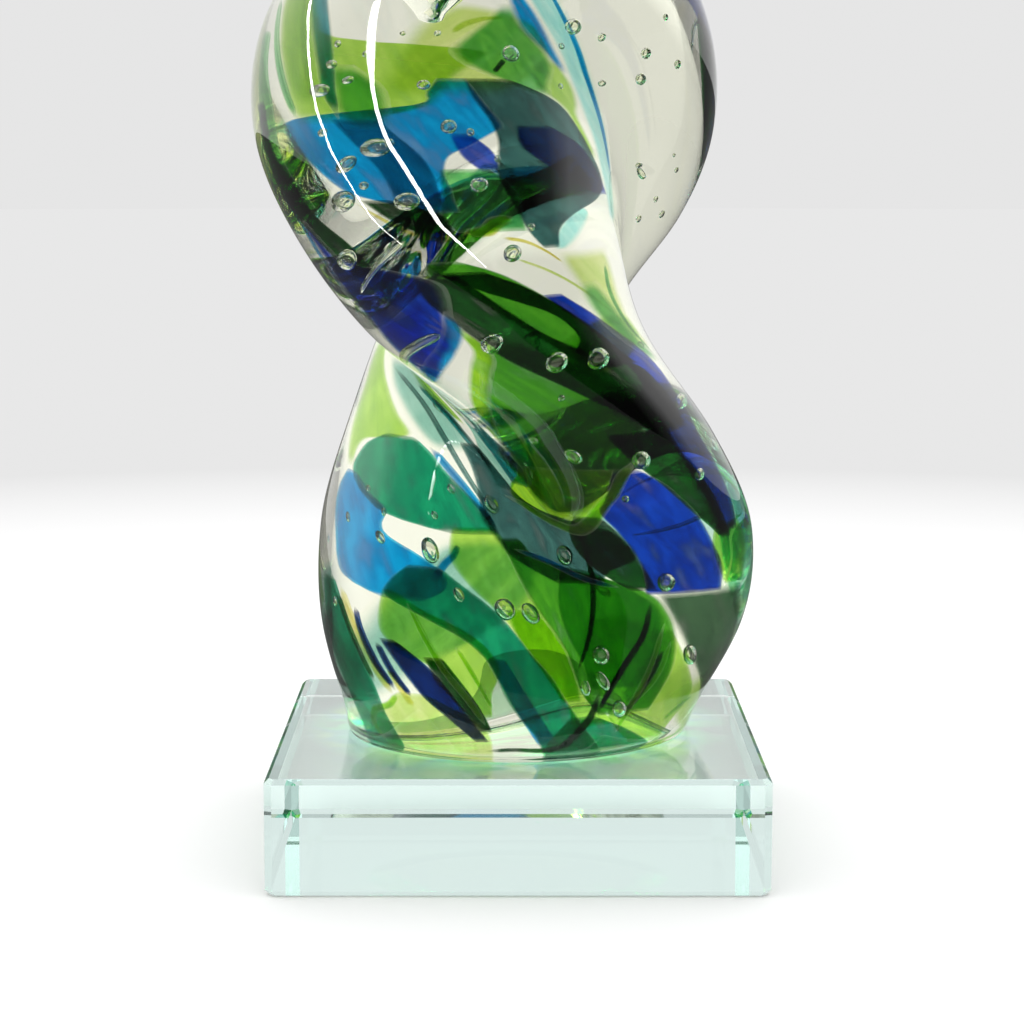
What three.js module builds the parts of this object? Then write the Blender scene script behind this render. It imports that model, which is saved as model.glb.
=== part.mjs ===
// A hand blown art glass vase: a heavy mass of clear glass with two lobes that wind
// about each other, patches of colour held between two gathers of the glass, and a
// clear glass block that the foot is bonded to. Millimetres, +Z up, the origin at the
// middle of the block's underside, the front at -Y.
import * as THREE from "three";

// Driving dimensions.
const BLOCK_SIDE = 100;
const BLOCK_HEIGHT = 23.5;
const BLOCK_CHAMFER = 1;
const BOND_THICKNESS = 0.4;
const BOND_INSET = 1.2;
const BODY_FLOOR = BLOCK_HEIGHT + BOND_THICKNESS;
const BODY_HEIGHT = 215;

// The section of the body is two circles, one for each lobe, that stand on either side
// of a middle and run into each other with a fillet. One row every STATION_STEP up from
// the foot: where the middle stands in X, the main lobe's radius and its distance from
// the middle, the second lobe's radius and distance, and the turn in degrees.
const STATION_STEP = 21.5;
const STATIONS = [
  [0.0, 32.0, 3.0, 32.0, 3.0, 33],
  [5.5, 28.5, 13.0, 33.5, 13.0, 9],
  [7.5, 24.0, 18.0, 32.0, 18.0, -16],
  [4.0, 23.5, 18.5, 28.0, 18.5, -49],
  [-3.5, 28.0, 17.5, 24.0, 18.5, -88],
  [-3.5, 33.0, 17.5, 26.0, 20.5, -125],
  [-2.5, 36.5, 16.5, 26.0, 19.0, -158],
  [-2.5, 33.0, 16.0, 24.0, 16.5, -187],
  [-2.5, 25.0, 12.0, 19.5, 11.0, -218],
  [-1.0, 18.5, 4.0, 17.5, 4.0, -250],
  [0.0, 20.0, 0.0, 20.0, 0.0, -280],
];
const FILLET = 7;

// The outer gather is a cup over the core. The colour lies in the gap between them in
// two layers, with a clear space between all neighbours.
const CASING_SHARE = 0.86;
const CASING_FLOOR = 4;
const CLEARANCE = 0.7;
const COLOUR_THICKNESS = 0.8;
const LAYER_PITCH = COLOUR_THICKNESS + CLEARANCE;
const CORE_INSET = 2 * CLEARANCE + 2 * LAYER_PITCH;

// The flower well, from its lip down to its tip: height, middle in X and Y, radius.
const WELL = [
  [215, 0, 0, 11.5],
  [204, 0, 0, 9],
  [193.5, -1, 1, 7.5],
  [182, -4, 3, 8.5],
  [170, -9, 4, 10],
  [158, -14, 3, 9.5],
  [149, -17, 1, 6.5],
  [143, -18, 0, 2.5],
];

// Facets.
const SIDES = 32;
const BODY_ROWS = 30;
const WELL_SIDES = 16;
const ROW_STEP = 7;
const COLUMN_STEP = 12;

const rad = THREE.MathUtils.degToRad;

// The value of one column of STATIONS at a height, on a smooth curve through the rows.
function alongBody(column, height) {
  const last = STATIONS.length - 1;
  const place = THREE.MathUtils.clamp(height / STATION_STEP, 0, last - 1e-6);
  const row = Math.floor(place);
  const share = place - row;
  const at = (index) => {
    if (index < 0) return 2 * STATIONS[0][column] - STATIONS[1][column];
    if (index > last) return 2 * STATIONS[last][column] - STATIONS[last - 1][column];
    return STATIONS[index][column];
  };
  const [a, b, c, d] = [at(row - 1), at(row), at(row + 1), at(row + 2)];
  const cubic = 3 * b - a - 3 * c + d;
  const square = 2 * a - 5 * b + 4 * c - d;
  return 0.5 * (2 * b + (c - a) * share + square * share ** 2 + cubic * share ** 3);
}

// How far a circle reaches from the middle at an angle from its own side.
function reach(radius, offset, angle) {
  const across = offset * Math.sin(angle);
  return offset * Math.cos(angle) + Math.sqrt(Math.max(radius ** 2 - across ** 2, 0));
}

// A point of the body at a height over the foot and an angle from the main lobe's
// crest, on the skin or on a layer under it.
function bodyPoint(height, degrees, share = 1, inset = 0) {
  const angle = rad(degrees);
  const main = reach(alongBody(1, height), alongBody(2, height), angle);
  const second = reach(alongBody(3, height), alongBody(4, height), angle + Math.PI);
  const skin = 0.5 * (main + second + Math.hypot(main - second, FILLET));
  const radius = skin * share - inset;
  const heading = angle + rad(alongBody(5, height));
  return new THREE.Vector3(
    alongBody(0, height) + radius * Math.cos(heading),
    radius * Math.sin(heading),
    BODY_FLOOR + height,
  );
}

function ring(height, share, inset) {
  const step = 360 / SIDES;
  return Array.from({ length: SIDES }, (_, side) => bodyPoint(height, side * step, share, inset));
}

function wellRing([height, x, y, radius]) {
  return Array.from({ length: WELL_SIDES }, (_, side) => {
    const angle = (2 * Math.PI * side) / WELL_SIDES;
    const point = new THREE.Vector3(x, y, BODY_FLOOR + height);
    return point.add(new THREE.Vector3(radius * Math.cos(angle), radius * Math.sin(angle), 0));
  });
}

// A closed mesh from loops of points and the triangles between them.
class Solid {
  constructor() {
    this.points = [];
    this.triangles = [];
  }

  add(points) {
    const first = this.points.length;
    this.points.push(...points);
    return points.map((_, index) => first + index);
  }

  quad(a, b, c, d) {
    this.triangles.push(a, b, c, a, c, d);
  }

  // A band between two loops that may differ in their number of points.
  band(low, high) {
    let [i, j] = [0, 0];
    while (i < low.length || j < high.length) {
      const nearLow = low[i % low.length];
      const nearHigh = high[j % high.length];
      if (j >= high.length || (i < low.length && (i + 1) / low.length <= (j + 1) / high.length)) {
        i += 1;
        this.triangles.push(nearLow, low[i % low.length], nearHigh);
      } else {
        j += 1;
        this.triangles.push(nearLow, high[j % high.length], nearHigh);
      }
    }
  }

  // A flat or domed end over a loop, as a fan about a point.
  cap(loop, middle, outward) {
    const [centre] = this.add([middle]);
    loop.forEach((point, index) => {
      const next = loop[(index + 1) % loop.length];
      if (outward) this.triangles.push(centre, point, next);
      else this.triangles.push(centre, next, point);
    });
  }

  geometry() {
    const geometry = new THREE.BufferGeometry();
    geometry.setAttribute(
      "position",
      new THREE.Float32BufferAttribute(this.points.flatMap((point) => point.toArray()), 3),
    );
    geometry.setIndex(this.triangles);
    geometry.computeVertexNormals();
    return geometry;
  }
}

// A skin from bottom to top and then a second one, inside it, back down: a cup, or a
// body with a well, according to the inner loops.
function cup(outer, inner, floor, innerEnd) {
  const solid = new Solid();
  const loops = [...outer, ...inner].map((loop) => solid.add(loop));
  loops.slice(1).forEach((loop, index) => solid.band(loops[index], loop));
  solid.cap(loops[0], floor, false);
  solid.cap(loops[loops.length - 1], innerEnd, true);
  return solid.geometry();
}

function heights(from, to, rows) {
  return Array.from({ length: rows + 1 }, (_, row) => from + ((to - from) * row) / rows);
}

function casing() {
  const up = heights(0, BODY_HEIGHT, BODY_ROWS);
  const down = heights(BODY_HEIGHT, CASING_FLOOR, BODY_ROWS);
  return cup(
    up.map((height) => ring(height, 1, 0)),
    down.map((height) => ring(height, CASING_SHARE, 0)),
    new THREE.Vector3(alongBody(0, 0), 0, BODY_FLOOR),
    new THREE.Vector3(alongBody(0, CASING_FLOOR), 0, BODY_FLOOR + CASING_FLOOR),
  );
}

function core() {
  const floor = CASING_FLOOR + CLEARANCE;
  const up = heights(floor, BODY_HEIGHT, BODY_ROWS);
  const tip = WELL[WELL.length - 1];
  return cup(
    up.map((height) => ring(height, CASING_SHARE, CORE_INSET)),
    WELL.map(wellRing),
    new THREE.Vector3(alongBody(0, floor), 0, BODY_FLOOR + floor),
    new THREE.Vector3(tip[1], tip[2], BODY_FLOOR + tip[0] - tip[3]),
  );
}

// The rows of a patch's mesh: those of its outline and enough between them that
// neither the height nor an edge moves far in one step.
function patchRows(outline) {
  const rows = [outline[0]];
  outline.slice(1).forEach((high, index) => {
    const low = outline[index];
    const rise = (high[0] - low[0]) / ROW_STEP;
    const shift = Math.max(Math.abs(high[1] - low[1]), Math.abs(high[2] - low[2])) / COLUMN_STEP;
    const steps = Math.ceil(Math.max(rise, shift));
    for (let step = 1; step <= steps; step += 1) {
      rows.push(low.map((value, item) => THREE.MathUtils.lerp(value, high[item], step / steps)));
    }
  });
  return rows;
}

// A patch of colour: a thin slab that follows the layer it lies in. Its outline is a
// row for each height over the foot, with the angles of its two edges.
function patch(outline, layer) {
  const outerInset = CLEARANCE + layer * LAYER_PITCH;
  const widest = Math.max(...outline.map(([, from, to]) => to - from));
  const columns = Math.max(1, Math.ceil(widest / COLUMN_STEP));
  const solid = new Solid();
  const loops = patchRows(outline).map(([height, from, to]) => {
    const angles = Array.from({ length: columns + 1 }, (_, i) => from + ((to - from) * i) / columns);
    const outside = angles.map((angle) => bodyPoint(height, angle, CASING_SHARE, outerInset));
    const innerInset = outerInset + COLOUR_THICKNESS;
    const inside = angles.map((angle) => bodyPoint(height, angle, CASING_SHARE, innerInset));
    return solid.add([...outside, ...inside.reverse()]);
  });
  loops.slice(1).forEach((loop, index) => solid.band(loops[index], loop));
  const [first, final] = [loops[0], loops[loops.length - 1]];
  const size = first.length;
  for (let i = 0; i < columns; i += 1) {
    const [a, b, c, d] = [i, i + 1, size - 2 - i, size - 1 - i];
    solid.quad(first[a], first[d], first[c], first[b]);
    solid.quad(final[a], final[b], final[c], final[d]);
  }
  return solid.geometry();
}

// The block: a square with its upright edges and its rims cut at 45 degrees.
function block() {
  const half = BLOCK_SIDE / 2 - BLOCK_CHAMFER;
  const cut = half - BLOCK_CHAMFER;
  const outline = new THREE.Shape();
  const corners = [
    [cut, -half], [half, -cut], [half, cut], [cut, half],
    [-cut, half], [-half, cut], [-half, -cut], [-cut, -half],
  ];
  outline.setFromPoints(corners.map(([x, y]) => new THREE.Vector2(x, y)));
  const geometry = new THREE.ExtrudeGeometry(outline, {
    depth: BLOCK_HEIGHT - 2 * BLOCK_CHAMFER,
    bevelEnabled: true,
    bevelSegments: 1,
    bevelSize: BLOCK_CHAMFER,
    bevelThickness: BLOCK_CHAMFER,
  });
  geometry.translate(0, 0, BLOCK_CHAMFER);
  return geometry;
}

// The film of clear adhesive between the block and the foot.
function bond() {
  const step = 360 / SIDES;
  const corners = Array.from({ length: SIDES }, (_, side) => bodyPoint(0, side * step, 1, BOND_INSET));
  const outline = new THREE.Shape(corners.map(({ x, y }) => new THREE.Vector2(x, y)));
  const geometry = new THREE.ExtrudeGeometry(outline, { depth: BOND_THICKNESS, bevelEnabled: false });
  geometry.translate(0, 0, BLOCK_HEIGHT);
  return geometry;
}

const CLEAR = { color: 0xe6e4d2, roughness: 0.03, metalness: 0 };
const AQUA = { color: 0xd2e8e2, roughness: 0.02, metalness: 0 };
const FILM = { color: 0xf0f2ee, roughness: 0.2, metalness: 0 };
const COLOURS = {
  cobalt: 0x0a37b4,
  azure: 0x0a78c8,
  violet: 0x3a46b4,
  teal: 0x0c8a66,
  sea: 0x1c8c9c,
  haze: 0x86c4b8,
  cyan: 0x8fd4dc,
  green: 0x2f8a12,
  leaf: 0x58b050,
  forest: 0x0b4a1c,
  lime: 0xa4cc3c,
  straw: 0xd0dc7c,
  acid: 0x94dc20,
  slate: 0x2c5c5c,
  smoke: 0x4c5c54,
  navy: 0x0a1a5c,
};
const OVER = 0;
const UNDER = 1;

// Each patch: its name, its colour, its layer and its outline, a row for each height
// over the foot with the angles of its two edges from the main lobe's crest.
const PATCHES = [
  ["foot_straw_sweep", "straw", UNDER, [
    [4.8, -177, -133], [7, -175, -134], [9.5, -166, -140], [12, -158, -149],
  ]],
  ["foot_navy_streak", "navy", OVER, [
    [4.8, -136, -132], [8, -142, -136], [12, -147, -139], [16, -150, -141], [19, -152, -144],
    [22, -154, -151],
  ]],
  ["azure_wave", "azure", OVER, [
    [31, -148, -136], [33, -163, -127], [36, -166, -126], [39, -165, -132], [42, -165, -141],
    [44, -164, -142], [47, -163, -139], [49.5, -161, -145], [52, -156, -151],
  ]],
  ["teal_arc", "teal", UNDER, [
    [44, -117, -103], [46, -139, -103], [48, -146, -104], [50, -151, -106], [53, -154, -109],
    [56, -150, -113], [59, -143, -117], [61, -132, -121],
  ]],
  ["shoulder_lime", "lime", OVER, [
    [54, -157, -153], [57, -158, -150], [60, -158, -141], [62, -157, -120], [66, -154, -123],
    [70, -150, -126], [72.5, -148, -128], [75, -146, -129], [77.5, -141, -129], [80, -136, -128],
  ]],
  ["belly_lime_right", "lime", UNDER, [
    [6, -97, -80], [10, -98, -87], [14, -100, -91], [18, -104, -91], [20.5, -106, -93],
    [23, -108, -94], [25.5, -110, -96], [28, -112, -97], [30.5, -115, -99], [33, -118, -100],
    [35.5, -119, -101], [38, -121, -101], [42, -119, -102],
  ]],
  ["belly_green", "green", UNDER, [
    [8, -79, -62], [12, -85, -52], [16, -89, -46], [20, -89, -43], [24, -91, -41], [28, -94, -41],
    [32, -97, -44], [35, -98, -56], [38, -99, -88], [42, -99, -96],
  ]],
  ["slate_blob", "slate", OVER, [
    [34.5, -84, -62], [37, -94, -56], [40, -100, -44], [44, -102, -44], [47, -103, -50],
    [50.5, -100, -78], [52.8, -99, -82], [55, -98, -85], [58, -97, -87], [61, -97, -89],
  ]],
  ["cobalt_dome", "cobalt", OVER, [
    [32.8, -46, -18], [36, -43, -16], [38.5, -42, -15], [41, -41, -14], [43.5, -41, -14],
    [46, -41, -14], [50, -42, -14], [53, -36, -14], [56, -30, -15], [58.5, -24, -18],
  ]],
  ["side_cobalt", "cobalt", UNDER, [
    [45, -4, 3], [48, -3, 5], [51, -2, 7], [54, -1, 9], [58, 1, 11], [62, 3, 14], [66, 7, 18],
    [70, 10, 22], [73, 15, 26], [76, 19, 30], [79, 22, 31], [82, 24, 32], [85, 25, 31], [88, 25, 31],
    [90.5, 25, 29], [93, 24, 28],
  ]],
  ["smoke_flank", "smoke", OVER, [
    [8, -26, -17], [12, -30, -12], [15, -33, -10], [18, -37, -8], [21, -38, -7], [24, -40, -5],
    [26.5, -41, -4], [29, -42, -3], [32.6, -15, -4],
  ]],
  ["tip_low", "acid", UNDER, [
    [46.6, -64, -52], [48.5, -74, -46], [51, -84, -41], [54, -80, -33], [57, -66, -25],
    [59, -59, -19],
  ]],
  ["tip_green", "green", OVER, [
    [50, -62, -48], [53, -66, -41], [56, -64, -35], [59, -60, -28], [62, -58, -10], [65, -56, -3],
    [69, -50, 5], [72, -41, 8], [76, -30, 10], [80, -19, 8], [83, -12, 4], [86, -8, 2],
  ]],
  ["navy_shoulder", "cobalt", OVER, [
    [78, -51, -44], [80, -47, -34], [82.5, -43, -26], [85, -41, -17], [88, -38, -11], [91, -35, -7],
    [94, -33, -2], [97, -31, 0], [99.5, -29, -8], [101.5, -27, -18], [105, -24, -19], [109, -22, -20],
  ]],
  ["black_band", "forest", UNDER, [
    [66, 0, 3], [70, 0, 7], [74, -3, 12], [78, -5, 17], [82, -7, 14], [86, -7, 10], [90, -7, 9],
    [94, -7, 8], [97.5, -3, 7],
  ]],
  ["lens_green", "green", OVER, [
    [79, 12, 23], [81.5, 10, 24], [84, 9, 25], [86.5, 9, 24], [89, 8, 24], [91.5, 7, 23], [94, 6, 22],
    [98, 2, 18], [100, 5, 11],
  ]],
  ["azure_band", "azure", OVER, [
    [110, 22, 25], [112, 10, 27], [114, 4, 30], [117, 2, 33], [120, 1, 38], [122, 0, 46],
    [124, 0, 54], [125.5, 1, 60], [127, 6, 61], [129.5, 44, 61], [132, 50, 61], [134, 55, 61],
  ]],
  ["scallop_green", "leaf", UNDER, [
    [106.3, 22, 37], [108, 22, 40], [110, 25, 43], [112, 28, 46], [115, 31, 47], [117, 34, 45],
  ]],
  ["slate_oval", "slate", OVER, [
    [103, 40, 42], [106, 40, 48], [109, 42, 60], [111.5, 44, 76], [114, 46, 86], [117, 49, 89],
    [120, 53, 89], [123, 57, 90], [126, 63, 89], [129, 63, 88], [131.5, 63, 84], [134, 63, 74],
  ]],
  ["oval_violet", "violet", UNDER, [
    [113, 78, 88], [116, 68, 88], [119, 64, 87], [122, 62, 85], [125, 66, 76],
  ]],
  ["crown_lime", "lime", UNDER, [
    [126.5, 4, 22], [129, 4, 44], [132, 5, 52], [135, 6, 60], [138, 7, 70], [140, 7, 72],
    [142, 8, 32], [146, 9, 27], [148.5, 10, 27], [151, 10, 27], [154.5, 11, 26], [158, 12, 26],
    [162, 13, 25], [166, 14, 24],
  ]],
  ["crown_green", "leaf", OVER, [
    [134, 81, 90], [137, 66, 96], [140, 64, 98], [143, 72, 97], [146, 82, 96], [149, 92, 98],
  ]],
  ["crown_azure", "azure", UNDER, [
    [136.5, 100, 104], [140, 97, 106], [144, 93, 108], [148, 95, 108], [152, 98, 106], [156, 99, 106],
    [160, 99, 106], [164, 100, 105], [168, 100, 104],
  ]],
  ["crown_cyan", "cyan", OVER, [
    [107, 78, 86], [109.5, 82, 91], [112, 86, 96], [115, 91, 99], [118, 92, 103], [121, 94, 106],
    [124, 96, 109], [127, 98, 111], [130, 100, 114], [133, 102, 116], [136, 104, 118],
    [139, 106, 119], [142, 108, 121], [145, 109, 122], [148, 109, 123], [152, 110, 123],
    [156, 110, 124], [160, 111, 122], [164, 112, 121],
  ]],
  ["back_forest", "lime", UNDER, [
    [4.8, 34, 48], [8, 34, 58], [10.5, 35, 60], [13, 36, 62], [15.5, 38, 59], [18, 40, 56],
    [22, 42, 50],
  ]],
  ["back_azure", "haze", OVER, [
    [10, 96, 112], [13, 94, 117], [16, 92, 122], [19, 94, 124], [22, 96, 126], [25, 101, 125],
    [28, 106, 124],
  ]],
  ["back_lime", "lime", UNDER, [
    [64, 146, 160], [66.5, 144, 164], [69, 142, 168], [71.5, 144, 170], [74, 146, 172],
    [76.5, 151, 171], [79, 156, 170],
  ]],
  ["back_cobalt", "azure", OVER, [[99, 200, 212], [103, 198, 216], [107, 200, 217], [110, 206, 216]]],
  ["back_green", "straw", UNDER, [
    [124, 262, 284], [127, 260, 287], [130, 258, 290], [133, 260, 291], [136, 262, 292],
    [138.5, 266, 291], [141, 270, 290],
  ]],
  ["neck_green", "leaf", OVER, [
    [164, -24, 8], [167, -28, 13], [170, -32, 18], [174, -31, 20], [178, -30, 22], [182, -25, 20],
    [186, -20, 18], [190, -14, 14], [194, -8, 10],
  ]],
  ["neck_azure", "azure", UNDER, [
    [166, 124, 150], [169.5, 115, 154], [173, 106, 158], [177, 104, 155], [181, 102, 152],
    [185, 105, 146], [189, 108, 140], [192, 110, 136], [195, 112, 132], [198, 114, 128],
  ]],
  ["foot_forest_streak", "forest", UNDER, [
    [10, -136, -132], [12.5, -139, -134], [15, -141, -135], [19, -143, -138],
  ]],
  ["foot_teal", "teal", OVER, [[4.8, -112, -66], [5, -104, -80], [7, -98, -90]]],
  ["edge_teal", "teal", UNDER, [
    [4.8, -190, -179], [8, -188, -178], [12, -187, -170], [16, -186, -169], [20, -185, -170],
    [24, -184, -171], [27.5, -182, -173], [31, -180, -174],
  ]],
  ["teal_wave", "teal", UNDER, [
    [4.8, -112, -99], [8, -117, -100], [12, -119, -102], [16, -120, -106], [20, -121, -109],
    [24, -126, -112], [28, -137, -116], [31, -146, -120], [34, -142, -122], [36.5, -134, -127],
  ]],
  ["wave_edge", "azure", OVER, [
    [8, -117, -111], [10.5, -118, -113], [13, -119, -114], [16, -120, -116], [19, -121, -118],
  ]],
  ["shoulder_haze", "haze", UNDER, [
    [60, -112, -98], [64, -118, -95], [68, -123, -95], [72, -127, -101], [74.5, -126, -107],
    [77, -126, -112],
  ]],
  ["belly_lime_left", "lime", OVER, [
    [9, -133, -129], [13, -136, -126], [17, -138, -123], [20, -141, -123], [23, -148, -124],
    [26, -154, -130], [29, -152, -140],
  ]],
  ["acid_glow", "acid", OVER, [
    [11, -100, -93], [13.5, -102, -93], [16, -104, -93], [19, -106, -94], [22, -108, -95],
    [25, -109, -98], [28, -110, -101],
  ]],
  ["black_shadow", "forest", UNDER, [[37, -58, -42], [41, -62, -42], [45, -60, -43]]],
  ["side_lime", "lime", OVER, [[34, -13, -4], [38, -12, 0], [42, -12, 3], [45.5, -1, 2]]],
  ["foot_lime_right", "lime", OVER, [
    [4.8, -64, -58], [5, -78, -46], [8, -80, -38], [11, -70, -34], [15, -51, -37], [19, -45, -40],
    [21.5, -43, -42],
  ]],
  ["tip_side_haze", "haze", UNDER, [
    [53, -92, -86], [57, -92, -74], [61, -90, -60], [63.5, -86, -60], [66, -82, -59], [70, -74, -61],
  ]],
  ["tip_side_sea", "sea", OVER, [[55, -78, -68], [59, -76, -64], [63, -74, -61], [67, -70, -60]]],
  ["rim_straw", "straw", UNDER, [
    [80, 34, 42], [83, 34, 43], [86, 34, 45], [88.5, 33, 47], [91, 34, 50], [93.5, 36, 53],
    [96, 38, 56], [98.5, 40, 59], [101, 42, 62],
  ]],
  ["rim_leaf", "leaf", OVER, [
    [78, 32, 37], [81, 32, 38], [84, 31, 39], [87, 32, 41], [90, 33, 43], [92.5, 35, 43],
    [95, 37, 44],
  ]],
  ["edge_green", "forest", UNDER, [
    [99, -19, -12], [101.5, -19, -11], [104, -20, -10], [107, -20, -10], [110, -20, -10],
    [113, -19, -10], [116, -18, -10], [119, -16, -9], [122, -15, -8], [126, -12, -6], [130, -9, -4],
  ]],
  ["edge_leaf", "leaf", OVER, [
    [112, -21, -11], [116, -19, -10], [120, -17, -8], [123.7, -14, -7], [127.3, -12, -5],
    [131, -10, -3], [134.7, -8, -3], [138.3, -6, -2], [142, -5, -1],
  ]],
  ["band_sea", "sea", UNDER, [
    [111, 14, 22], [113.5, 16, 26], [116, 17, 28], [118.5, 18, 29], [121, 18, 30], [123.5, 18, 29],
  ]],
  ["violet_blob", "violet", UNDER, [[119.5, 42, 49], [121.5, 43, 50], [123.5, 45, 49]]],
  ["scallop_forest", "forest", UNDER, [
    [105.8, 12, 19], [107.5, 9, 20], [109.3, 8, 20], [111.5, 6, 12],
  ]],
  ["crown_straw", "straw", OVER, [
    [130, 8, 18], [133.5, 9, 20], [137, 9, 22], [141, 10, 24], [145, 11, 26], [148, 12, 26],
    [151, 13, 26], [154, 14, 26], [157.3, 15, 25], [160.7, 16, 24], [164, 16, 24],
  ]],
];

function mesh(name, geometry, look) {
  const object = new THREE.Mesh(geometry, new THREE.MeshStandardMaterial(look));
  object.name = name;
  return object;
}

const vase = new THREE.Group();
vase.add(mesh("base_block", block(), AQUA));
vase.add(mesh("bond_film", bond(), FILM));
vase.add(mesh("outer_casing", casing(), CLEAR));
vase.add(mesh("inner_core", core(), CLEAR));
for (const [name, colour, layer, outline] of PATCHES) {
  vase.add(mesh(name, patch(outline, layer), { color: COLOURS[colour], roughness: 0.05, metalness: 0 }));
}

export default vase;
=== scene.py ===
# %% [markdown]
# # A twisted art glass vase on a glass block
# The real vase is made hot, in layers. A gather of clear glass is rolled over chips of
# coloured glass, covered with a second clear gather, pricked so that bubbles are
# trapped, and then squeezed into two lobes and twisted. When it is cold its foot is
# ground flat and bonded to a polished block. This lesson builds it in the same order:
# the clear mass first, then the bubbles, the colour and the block.

import math
import random

import bmesh
import bpy
from mathutils import Matrix, Vector, noise


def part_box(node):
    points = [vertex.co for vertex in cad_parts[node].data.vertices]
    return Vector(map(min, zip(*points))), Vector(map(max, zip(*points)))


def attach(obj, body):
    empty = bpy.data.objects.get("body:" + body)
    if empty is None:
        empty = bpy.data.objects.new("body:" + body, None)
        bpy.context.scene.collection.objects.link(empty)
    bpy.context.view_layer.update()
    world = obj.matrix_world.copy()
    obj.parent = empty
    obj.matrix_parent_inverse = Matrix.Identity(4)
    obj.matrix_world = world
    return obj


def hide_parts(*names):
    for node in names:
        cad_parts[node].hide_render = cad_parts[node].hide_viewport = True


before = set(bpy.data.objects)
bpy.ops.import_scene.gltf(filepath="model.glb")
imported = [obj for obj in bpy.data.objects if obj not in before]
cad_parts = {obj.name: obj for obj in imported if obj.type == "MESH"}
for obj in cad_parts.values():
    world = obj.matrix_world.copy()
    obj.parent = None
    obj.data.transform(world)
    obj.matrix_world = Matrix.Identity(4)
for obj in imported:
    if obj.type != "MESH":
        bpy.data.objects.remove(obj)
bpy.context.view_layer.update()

# %% [markdown]
# ## The frame gives the sizes
# Everything is in metres, in the frame of the solid model: +Z up, the front at -Y, the
# origin under the middle of the block. The block's top and the body's height are read
# from the solids, so the glass in this file always stands where the solids stand.

# %% Sizes
MM = 0.001
block_low, block_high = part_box("base_block")
body_low, body_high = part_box("outer_casing")
BODY_FLOOR = body_low[2]
BODY_HEIGHT = (body_high[2] - body_low[2]) / MM
print("body stands at", BODY_FLOOR, "and is", round(BODY_HEIGHT, 1), "mm high")

# %% [markdown]
# ## The twisted section
# The body is lofted. Its section is two circles that run into each other, one for each
# lobe, and the pair turns as it climbs, left-handed. Each row below is a station up the
# body: where the middle stands, the main lobe's radius and its distance from the
# middle, the second lobe's radius and distance, and the turn in degrees. A smooth curve
# through the rows gives every height between them. A sculpted mesh could look the same,
# but a formula lets the colour and the bubbles follow the twist at any depth.

# %% The section of the body
STATION_STEP = 21.5
STATIONS = [
    (0.0, 32.0, 3.0, 32.0, 3.0, 33),
    (5.5, 28.5, 13.0, 33.5, 13.0, 9),
    (7.5, 24.0, 18.0, 32.0, 18.0, -16),
    (4.0, 23.5, 18.5, 28.0, 18.5, -49),
    (-3.5, 28.0, 17.5, 24.0, 18.5, -88),
    (-3.5, 33.0, 17.5, 26.0, 20.5, -125),
    (-2.5, 36.5, 16.5, 26.0, 19.0, -158),
    (-2.5, 33.0, 16.0, 24.0, 16.5, -187),
    (-2.5, 25.0, 12.0, 19.5, 11.0, -218),
    (-1.0, 18.5, 4.0, 17.5, 4.0, -250),
    (0.0, 20.0, 0.0, 20.0, 0.0, -280),
]
FILLET = 7.0


def spline(values, place):
    """The value at a place on the smooth curve through equally spaced values."""
    last = len(values) - 1
    place = min(max(place, 0.0), last - 1e-6)
    row = int(place)
    t = place - row
    before = 2 * values[0] - values[1]
    after = 2 * values[last] - values[last - 1]
    a, b, c, d = (
        before if i < 0 else after if i > last else values[i] for i in range(row - 1, row + 3)
    )
    return 0.5 * (2 * b + (c - a) * t + (2 * a - 5 * b + 4 * c - d) * t**2 + (3 * b - a - 3 * c + d) * t**3)


def station(height):
    """All the section's sizes at a height over the foot, in millimetres."""
    return [spline([row[k] for row in STATIONS], height / STATION_STEP) for k in range(6)]


def reach(radius, offset, angle):
    """How far a circle reaches from the middle, at an angle from its own side."""
    across = offset * math.sin(angle)
    return offset * math.cos(angle) + math.sqrt(max(radius**2 - across**2, 0.0))


def body_point(height, degrees, share=1.0, inset=0.0):
    """A point on the skin, or on a layer under it, as a vector in metres."""
    middle, main_r, main_d, second_r, second_d, turn = station(height)
    angle = math.radians(degrees)
    main = reach(main_r, main_d, angle)
    second = reach(second_r, second_d, angle + math.pi)
    skin = 0.5 * (main + second + math.hypot(main - second, FILLET))
    radius = skin * share - inset
    heading = angle + math.radians(turn)
    return Vector((
        (middle + radius * math.cos(heading)) * MM,
        radius * math.sin(heading) * MM,
        BODY_FLOOR + height * MM,
    ))


print("skin radius over the foot", round((body_point(0, 0).xy).length / MM, 1), "mm")


# %% [markdown]
# ## Shader maths as plain expressions
# Node trees are easier to read as formulas. `Socket` wraps a node's output and adds the
# Math node for each operator. `Tree.node` makes any other node from its kind, its
# settings and the values or links of its inputs.

# %% A small language for materials
class Socket:
    """A value in a node tree that can be added and multiplied."""

    def __init__(self, tree, output):
        self.tree = tree
        self.output = output

    def _math(self, operation, *values):
        return self.tree.node("Math", {"operation": operation}, dict(enumerate(values)))

    def __add__(self, other):
        return self._math("ADD", self, other)

    def __mul__(self, other):
        return self._math("MULTIPLY", self, other)


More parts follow.
